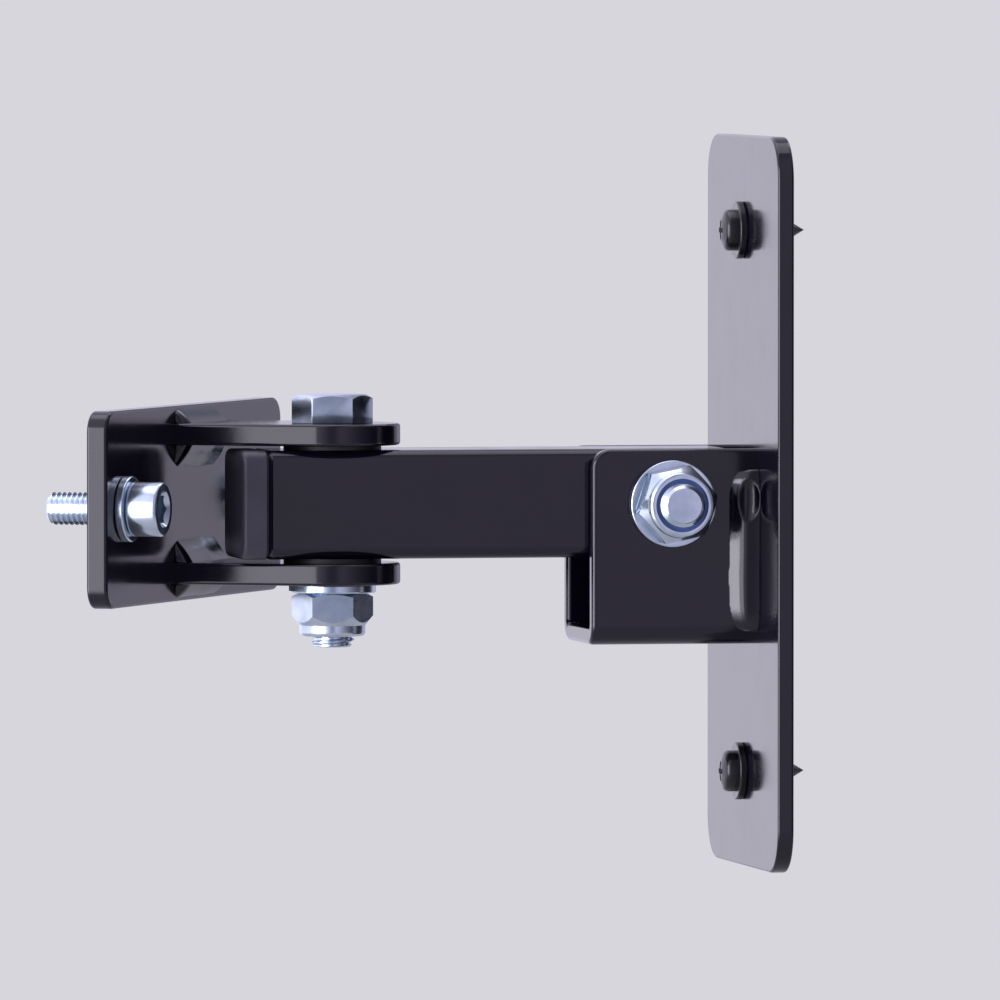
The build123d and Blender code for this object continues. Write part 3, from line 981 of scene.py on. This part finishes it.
@dataclass
class WeldBead:
    """A painted fillet weld along the corner between two faces.

    Its own X and Y lie on the two faces, and it runs up its own Z.
    """

    length: float
    leg_x: float
    leg_y: float
    bulge: float
    seed: int
    craters: Sequence[Crater] = ()
    shoulder: float = 1.0
    wander: float = 0.030
    sink: float = 0.3 * MM
    ring_step: float = 0.42 * MM
    knot_rings: int = 12
    arc_points: int = 13
    round_end: float = 2.2 * MM
    end_share: float = 0.3
    grain: float = 0.18 * MM
    melt_passes: int = 16
    shade_angle: float = 60.0

    def build(self, name: str, seat: Matrix) -> bpy.types.Object:
        """Model the bead in its corner.

        Args:
            name: The piece's name.
            seat: The lower end of the corner line.

        Returns:
            The bead.
        """
        bead = Bench.outline(name, self._section())
        rings = round(self.length / self.ring_step)
        step = (0, 0, self.length / rings)
        sizes = self._ring_sizes(rings)
        with editing(bead):
            bpy.ops.mesh.edge_face_add()
            bpy.ops.transform.resize(value=(sizes[0], sizes[0], sizes[0]), center_override=(0, 0, 0))
            for before, after in zip(sizes, sizes[1:]):
                bpy.ops.mesh.extrude_region_move(TRANSFORM_OT_translate={"value": step})
                ratio = after / before
                bpy.ops.transform.resize(value=(ratio, ratio, 1.0), center_override=(0, 0, 0))
        Bench.close_up(bead)
        for crater in self.craters:
            Bench.combine(bead, crater.tool(), Cut.REMOVE)
        Bench.melt(bead, self.grain, self.melt_passes)
        Bench.settle(bead, seat)
        Bench.smooth(bead, self.shade_angle)
        return bead

    def _section(self) -> list[Point]:
        """Draw the bead's section: a crown, bent at its shoulder, between two sunken toes.

        Returns:
            The section's corners, ending at the sunken root.
        """
        outward = Vector((self.leg_y, self.leg_x, 0)).normalized()
        toe_x = Vector((self.leg_x, -self.sink, 0))
        toe_y = Vector((-self.sink, self.leg_y, 0))
        # At a shoulder of 1 the arc passes half way between its chord and this corner.
        crown = (toe_x + toe_y) / 2 + outward * self.bulge * 2
        points = []
        for index in range(self.arc_points):
            share = index / (self.arc_points - 1)
            pulls = ((1 - share) ** 2, 2 * self.shoulder * share * (1 - share), share**2)
            point = (toe_x * pulls[0] + crown * pulls[1] + toe_y * pulls[2]) / sum(pulls)
            points.append(tuple(point))
        points.append((-self.sink, -self.sink, 0.0))
        return points

    def _ring_sizes(self, rings: int) -> list[float]:
        """Size the sections along the bead: a slow wander and rounded ends.

        Args:
            rings: Number of steps along the bead.

        Returns:
            One factor for each ring, from the lower end to the upper one.
        """
        draw = random.Random(self.seed)
        knots = [draw.uniform(-1, 1) for _ in range(rings // self.knot_rings + 2)]
        sizes = []
        for ring in range(rings + 1):
            along = ring * self.length / rings
            knot, part = divmod(ring / self.knot_rings, 1)
            # One knot eases into the next with no corner between them.
            ease = part * part * (3 - 2 * part)
            drift = knots[int(knot)] * (1 - ease) + knots[int(knot) + 1] * ease
            edge = min(along, self.length - along) / self.round_end
            cap = math.sqrt(max(0.0, 1 - (1 - min(edge, 1.0)) ** 2))
            sizes.append((1 + self.wander * drift) * (self.end_share + (1 - self.end_share) * cap))
        return sizes


def mount(name: str) -> dict:
    """Give one of the record's mounts by name."""
    return next(entry for entry in frame["record"]["mounts"] if entry["name"] == name)


def joint_place(name: str) -> Vector:
    """Give the point that a joint turns about."""
    return Vector(next(entry for entry in frame["joints"] if entry["name"] == name)["pos_m"])


@dataclass
class WallBracket:
    """The wall plate and its channel, with their welds, wall screws and tilt bolt."""

    wardrobe: Wardrobe
    weld_legs: Pair = (5.6 * MM, 2.6 * MM)
    weld_bulge: float = 0.55 * MM
    weld_shoulder: float = 3.5
    weld_round: float = 6.0 * MM
    weld_end_share: float = 0.5
    near_seed: int = 11
    far_seed: int = 23
    stop_crater: Crater = Crater(
        (2.9 * MM, 4.2 * MM, 24.6 * MM), depth=3.0 * MM, width=6.8 * MM, length=12.0 * MM, turn=100.0
    )
    tilt_head_turn: float = 0.0

    def build(self) -> None:
        """Model and dress the pieces that the CAD holds plainly."""
        self._welds()
        self._tilt_bolt()
        self._wall_screws()

    def _welds(self) -> None:
        """Lay the weld beads down both sides of the channel, with a crater in the near one."""
        low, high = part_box("channel_welds")
        near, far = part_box("wall_channel")
        plate_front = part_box("wall_plate")[0].x
        for name, corner_y, start_z, run, seed, hollows in (
            ("channel_weld_near", near.y, low.z, 1, self.near_seed, (self.stop_crater,)),
            ("channel_weld_far", far.y, high.z, -1, self.far_seed, ()),
        ):
            seat = seat_matrix((plate_front, corner_y, start_z), (-1, 0, 0), (0, 0, run))
            bead = WeldBead(
                high.z - low.z,
                *self.weld_legs,
                self.weld_bulge,
                seed,
                hollows,
                shoulder=self.weld_shoulder,
                round_end=self.weld_round,
                end_share=self.weld_end_share,
            )
            piece = bead.build(name, seat)
            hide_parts("channel_welds")
            self.wardrobe.deliver(piece, Slot.PAINT, Body.WALL_BRACKET)

    def _tilt_bolt(self) -> None:
        """Put the bolt through the channel from the far side."""
        bolt_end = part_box("tilt_bolt")[0].y
        head_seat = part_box("tilt_head_washer")[1].y
        axis = joint_place("tilt")
        seat = seat_matrix((axis.x, head_seat, axis.z), (-1, 0, 0), (0, 1, 0))
        bolt = HexBolt(head_seat - bolt_end, self.tilt_head_turn)
        piece = bolt.build("tilt_bolt_threaded", seat)
        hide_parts("tilt_bolt")
        self.wardrobe.deliver(piece, Slot.ZINC, Body.WALL_BRACKET)

    def _wall_screws(self) -> None:
        """Drive the two wall screws through their washers and the plate."""
        pattern = mount("wall_screw_pair")
        centre = Vector(pattern["pos_m"])
        rise = pattern["dims"]["pcd_mm"] * MM / 2
        head_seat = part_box("wall_screw_washers")[0].x
        for name, height in (("wall_screw_upper", rise), ("wall_screw_lower", -rise)):
            seat = seat_matrix((head_seat, centre.y, centre.z + height), (0, -1, 0), (-1, 0, 0))
            piece = PanScrew(centre.x - head_seat).build(name, seat)
            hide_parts("wall_screws")
            self.wardrobe.deliver(piece, Slot.BLACK_SCREW, Body.WALL_BRACKET)


@dataclass
class SpeakerMount:
    """The fork and its plate, with their welds, the swivel bolt and the speaker screws."""

    wardrobe: Wardrobe
    plate_thickness: float = 4.0 * MM
    washer_thickness: float = 1.6 * MM
    screw_reach: float = 10.4 * MM
    weld_length: float = 24.0 * MM
    weld_bulge: float = 0.3 * MM
    weld_seed: int = 31
    outer_weld: Pair = (2.8 * MM, 2.8 * MM)
    inner_weld: Pair = (3.0 * MM, 4.5 * MM)
    swivel_head_turn: float = 18.0
    outward: Vector = field(init=False)
    along: Vector = field(init=False)
    plate_front: Vector = field(init=False)

    def __post_init__(self) -> None:
        """Read where the speaker plate's face is and which way it looks."""
        face = mount("speaker_face")
        self.outward = Vector(face["axis"]).normalized()
        self.along = Vector((0, 0, 1)).cross(self.outward)
        self.plate_front = Vector(face["pos_m"])

    def build(self) -> None:
        """Model and dress the pieces that the CAD holds plainly."""
        self._fork_welds()
        self._swivel_bolt()
        self._speaker_screws()

    def _fork_welds(self) -> None:
        """Lay the beads that hold both ears to the back of the plate, outside and inside."""
        ear_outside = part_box("swivel_fork")[1].z
        ear_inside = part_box("swivel_friction_washers")[1].z
        plate_back = self.plate_front - self.outward * self.plate_thickness
        for level, rise in (("upper", 1), ("lower", -1)):
            for place, height, legs, lean in (
                ("outer", ear_outside, self.outer_weld, 1),
                ("inner", ear_inside, self.inner_weld, -1),
            ):
                run = self.along * rise * lean
                root = plate_back + Vector((0, 0, rise * height))
                seat = seat_matrix(root - run * self.weld_length / 2, -self.outward, run)
                # Each of the four beads wanders in its own way.
                seed = self.weld_seed + 2 * rise + lean
                bead = WeldBead(self.weld_length, *legs, self.weld_bulge, seed)
                piece = bead.build(f"fork_weld_{level}_{place}", seat)
                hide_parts("fork_welds")
                self.wardrobe.deliver(piece, Slot.PAINT, Body.SPEAKER_MOUNT)

    def _swivel_bolt(self) -> None:
        """Put the bolt down through the fork and the arm."""
        bolt_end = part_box("swivel_bolt")[0].z
        head_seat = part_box("swivel_fork")[1].z
        axis = joint_place("swivel")
        seat = seat_matrix((axis.x, axis.y, head_seat), -self.outward, (0, 0, 1))
        bolt = HexBolt(head_seat - bolt_end, self.swivel_head_turn)
        piece = bolt.build("swivel_bolt_threaded", seat)
        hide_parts("swivel_bolt")
        self.wardrobe.deliver(piece, Slot.ZINC, Body.SPEAKER_MOUNT)

    def _speaker_screws(self) -> None:
        """Put the two screws through the speaker plate from the arm's side."""
        pattern = mount("speaker_screw_pair")
        spread = pattern["dims"]["pcd_mm"] * MM / 2
        grip = self.plate_thickness + self.washer_thickness
        for name, offset in (("speaker_screw_near", spread), ("speaker_screw_far", -spread)):
            origin = self.plate_front - self.outward * grip + self.along * offset
            seat = seat_matrix(origin, self.along, -self.outward)
            piece = SocketScrew(grip, self.screw_reach).build(name, seat)
            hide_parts("speaker_screws")
            self.wardrobe.deliver(piece, Slot.ZINC, Body.SPEAKER_MOUNT)


@dataclass(frozen=True)
class Softbox:
    """A soft rectangular lamp, with its sizes in metres and its power in watts."""

    name: str
    place: Point
    width: float
    height: float
    power: float


@dataclass
class Studio:
    """Camera at the photograph's angle, soft lamps, a pale floor and a pale background."""

    aim: Point = (-0.0486, 0.0, 0.0004)
    azimuth: float = -10.8
    elevation: float = 2.0
    distance: float = 3.0
    lens: float = 586.0
    clip_end: float = 100.0
    floor_height: float = -0.13
    floor_radius: float = 0.6
    floor_corners: int = 96
    floor_plane: Point = (1.0, 1.0, 0.0)
    floor_fade: Pair = (0.25, 0.95)
    floor_tones: tuple[Colour, Colour] = ((0.66, 0.655, 0.70), (0.69, 0.685, 0.73))
    floor_cloud_scale: float = 9.0
    floor_cloud_detail: float = 3.0
    floor_roughness: float = 0.8
    pale: Colour = (0.68, 0.672, 0.716)
    bright_side: Point = (-0.95, 0.30, 0.05)
    sweep_tones: Sequence[tuple[float, Colour]] = (
        (0.0, (0.042, 0.038, 0.055)),
        (0.27, (0.48, 0.45, 0.58)),
        (0.33, (0.48, 0.45, 0.58)),
        (0.40, (0.23, 0.235, 0.31)),
        (0.48, (0.23, 0.235, 0.31)),
        (0.58, (0.58, 0.555, 0.69)),
        (0.70, (0.876, 0.845, 1.0)),
    )
    sweep_strength: float = 1.42
    fill_tint: Colour = (1.0, 1.0, 1.0)
    fill_strength: float = 0.38
    lamp_tint: Colour = (0.92, 0.90, 1.0)
    softboxes: Sequence[Softbox] = (
        Softbox("key_softbox", (-1.47, -0.48, -0.06), width=0.46, height=1.7, power=20.3),
        Softbox("side_softbox", (-1.20, -0.96, -0.06), width=0.62, height=1.7, power=9.9),
        Softbox("top_softbox", (-0.10, 0.15, 1.50), width=1.2, height=1.2, power=7.0),
        Softbox("rear_softbox", (0.90, 0.90, 1.50), width=0.6, height=0.9, power=4.0),
    )

    def build(self) -> None:
        """Set the stage."""
        bpy.context.scene.view_settings.view_transform = "Standard"
        self._camera()
        for softbox in self.softboxes:
            self._lamp(softbox)
        self._world()
        self._floor()

    def _camera(self) -> None:
        """Place the camera."""
        across = math.radians(self.azimuth)
        rise = math.radians(self.elevation)
        level = math.cos(rise)
        back = Vector((math.sin(across) * level, -math.cos(across) * level, math.sin(rise)))
        Bench.clear()
        bpy.ops.object.camera_add(location=Vector(self.aim) + back * self.distance)
        camera = bpy.context.object
        camera.rotation_euler = (-back).to_track_quat("-Z", "Y").to_euler()
        camera.data.lens = self.lens
        camera.data.clip_end = self.clip_end
        bpy.context.scene.camera = camera

    def _lamp(self, softbox: Softbox) -> None:
        """Add a lamp that looks at the bracket.

        Args:
            softbox: The lamp's place, size and power.
        """
        Bench.clear()
        bpy.ops.object.light_add(type="AREA", location=softbox.place)
        lamp = bpy.context.object
        lamp.name = softbox.name
        lamp.data.shape = "RECTANGLE"
        lamp.data.size = softbox.width
        lamp.data.size_y = softbox.height
        lamp.data.energy = softbox.power
        lamp.data.color = self.lamp_tint
        look = Vector(self.aim) - Vector(softbox.place)
        lamp.rotation_euler = look.to_track_quat("-Z", "Y").to_euler()

    def _world(self) -> None:
        """Light the scene evenly, and show a pale sweep to the camera and in reflections."""
        world = bpy.data.worlds.new("Studio")
        bpy.context.scene.world = world
        world.use_nodes = True
        sketch = Sketch(world.node_tree)
        path = sketch.add("LightPath").outputs
        ray = sketch.add("TexCoord").outputs["Generated"]
        side = Vector(self.bright_side).normalized()
        facing = sketch.add("VectorMath", {0: ray, 1: side}, operation="DOT_PRODUCT").outputs["Value"]
        sweep = sketch.add("ValToRGB", {"Fac": sketch.stretch(facing, (-1.0, 1.0))})
        stops = sweep.color_ramp.elements
        while len(stops) < len(self.sweep_tones):
            stops.new(1.0)
        for stop, (position, tone) in zip(stops, self.sweep_tones):
            stop.position = position
            stop.color = opaque(tone)
        fill = sketch.add("Background", {"Color": opaque(self.fill_tint), "Strength": self.fill_strength})
        tint = sweep.outputs["Color"]
        reflected = sketch.add("Background", {"Color": tint, "Strength": self.sweep_strength})
        seen = sketch.add("Background", {"Color": opaque(self.pale)})
        shiny = sketch.math("MAXIMUM", path["Is Glossy Ray"], path["Is Transmission Ray"])
        lit = sketch.mix_shaders(shiny, fill, reflected)
        mixed = sketch.mix_shaders(path["Is Camera Ray"], lit, seen)
        sketch.add("OutputWorld", {"Surface": mixed.outputs[0]})

    def _floor(self) -> None:
        """Lay a pale floor disc that fades into the background towards its rim."""
        Bench.clear()
        bpy.ops.mesh.primitive_circle_add(
            vertices=self.floor_corners,
            radius=self.floor_radius,
            fill_type="NGON",
            location=(0, 0, self.floor_height),
        )
        floor = bpy.context.object
        floor.name = "studio_floor"
        Bench.settle(floor, AT_ORIGIN)
        material = bpy.data.materials.new("Pale floor")
        material.use_nodes = True
        sketch = Sketch(material.node_tree)
        place = sketch.place()
        flat = sketch.add("VectorMath", {0: place, 1: self.floor_plane}, operation="MULTIPLY")
        radius = sketch.add("VectorMath", {0: flat.outputs["Vector"]}, operation="LENGTH").outputs["Value"]
        start, end = (share * self.floor_radius for share in self.floor_fade)
        fade = sketch.stretch(radius, (start, end), interpolation_type="SMOOTHSTEP")
        under = sketch.add("NewGeometry").outputs["Backfacing"]
        clear = sketch.math("MAXIMUM", fade, under)
        cloud = sketch.noise(place, self.floor_cloud_scale, self.floor_cloud_detail)
        tone = sketch.mix_colours(cloud, *map(opaque, self.floor_tones))
        surface = sketch.add("BsdfPrincipled", {"Base Color": tone, "Roughness": self.floor_roughness})
        mixed = sketch.mix_shaders(clear, surface, sketch.add("BsdfTransparent"))
        sketch.add("OutputMaterial", {"Surface": mixed.outputs[0]})
        floor.data.materials.append(material)


def main() -> None:
    """Dress the frame, build the new pieces and set the stage."""
    logging.basicConfig(level=logging.INFO, format="%(name)s: %(message)s")
    wardrobe = Wardrobe()
    wardrobe.dress_frame()
    WallBracket(wardrobe).build()
    SpeakerMount(wardrobe).build()
    Studio().build()


if __name__ == "__main__":
    main()
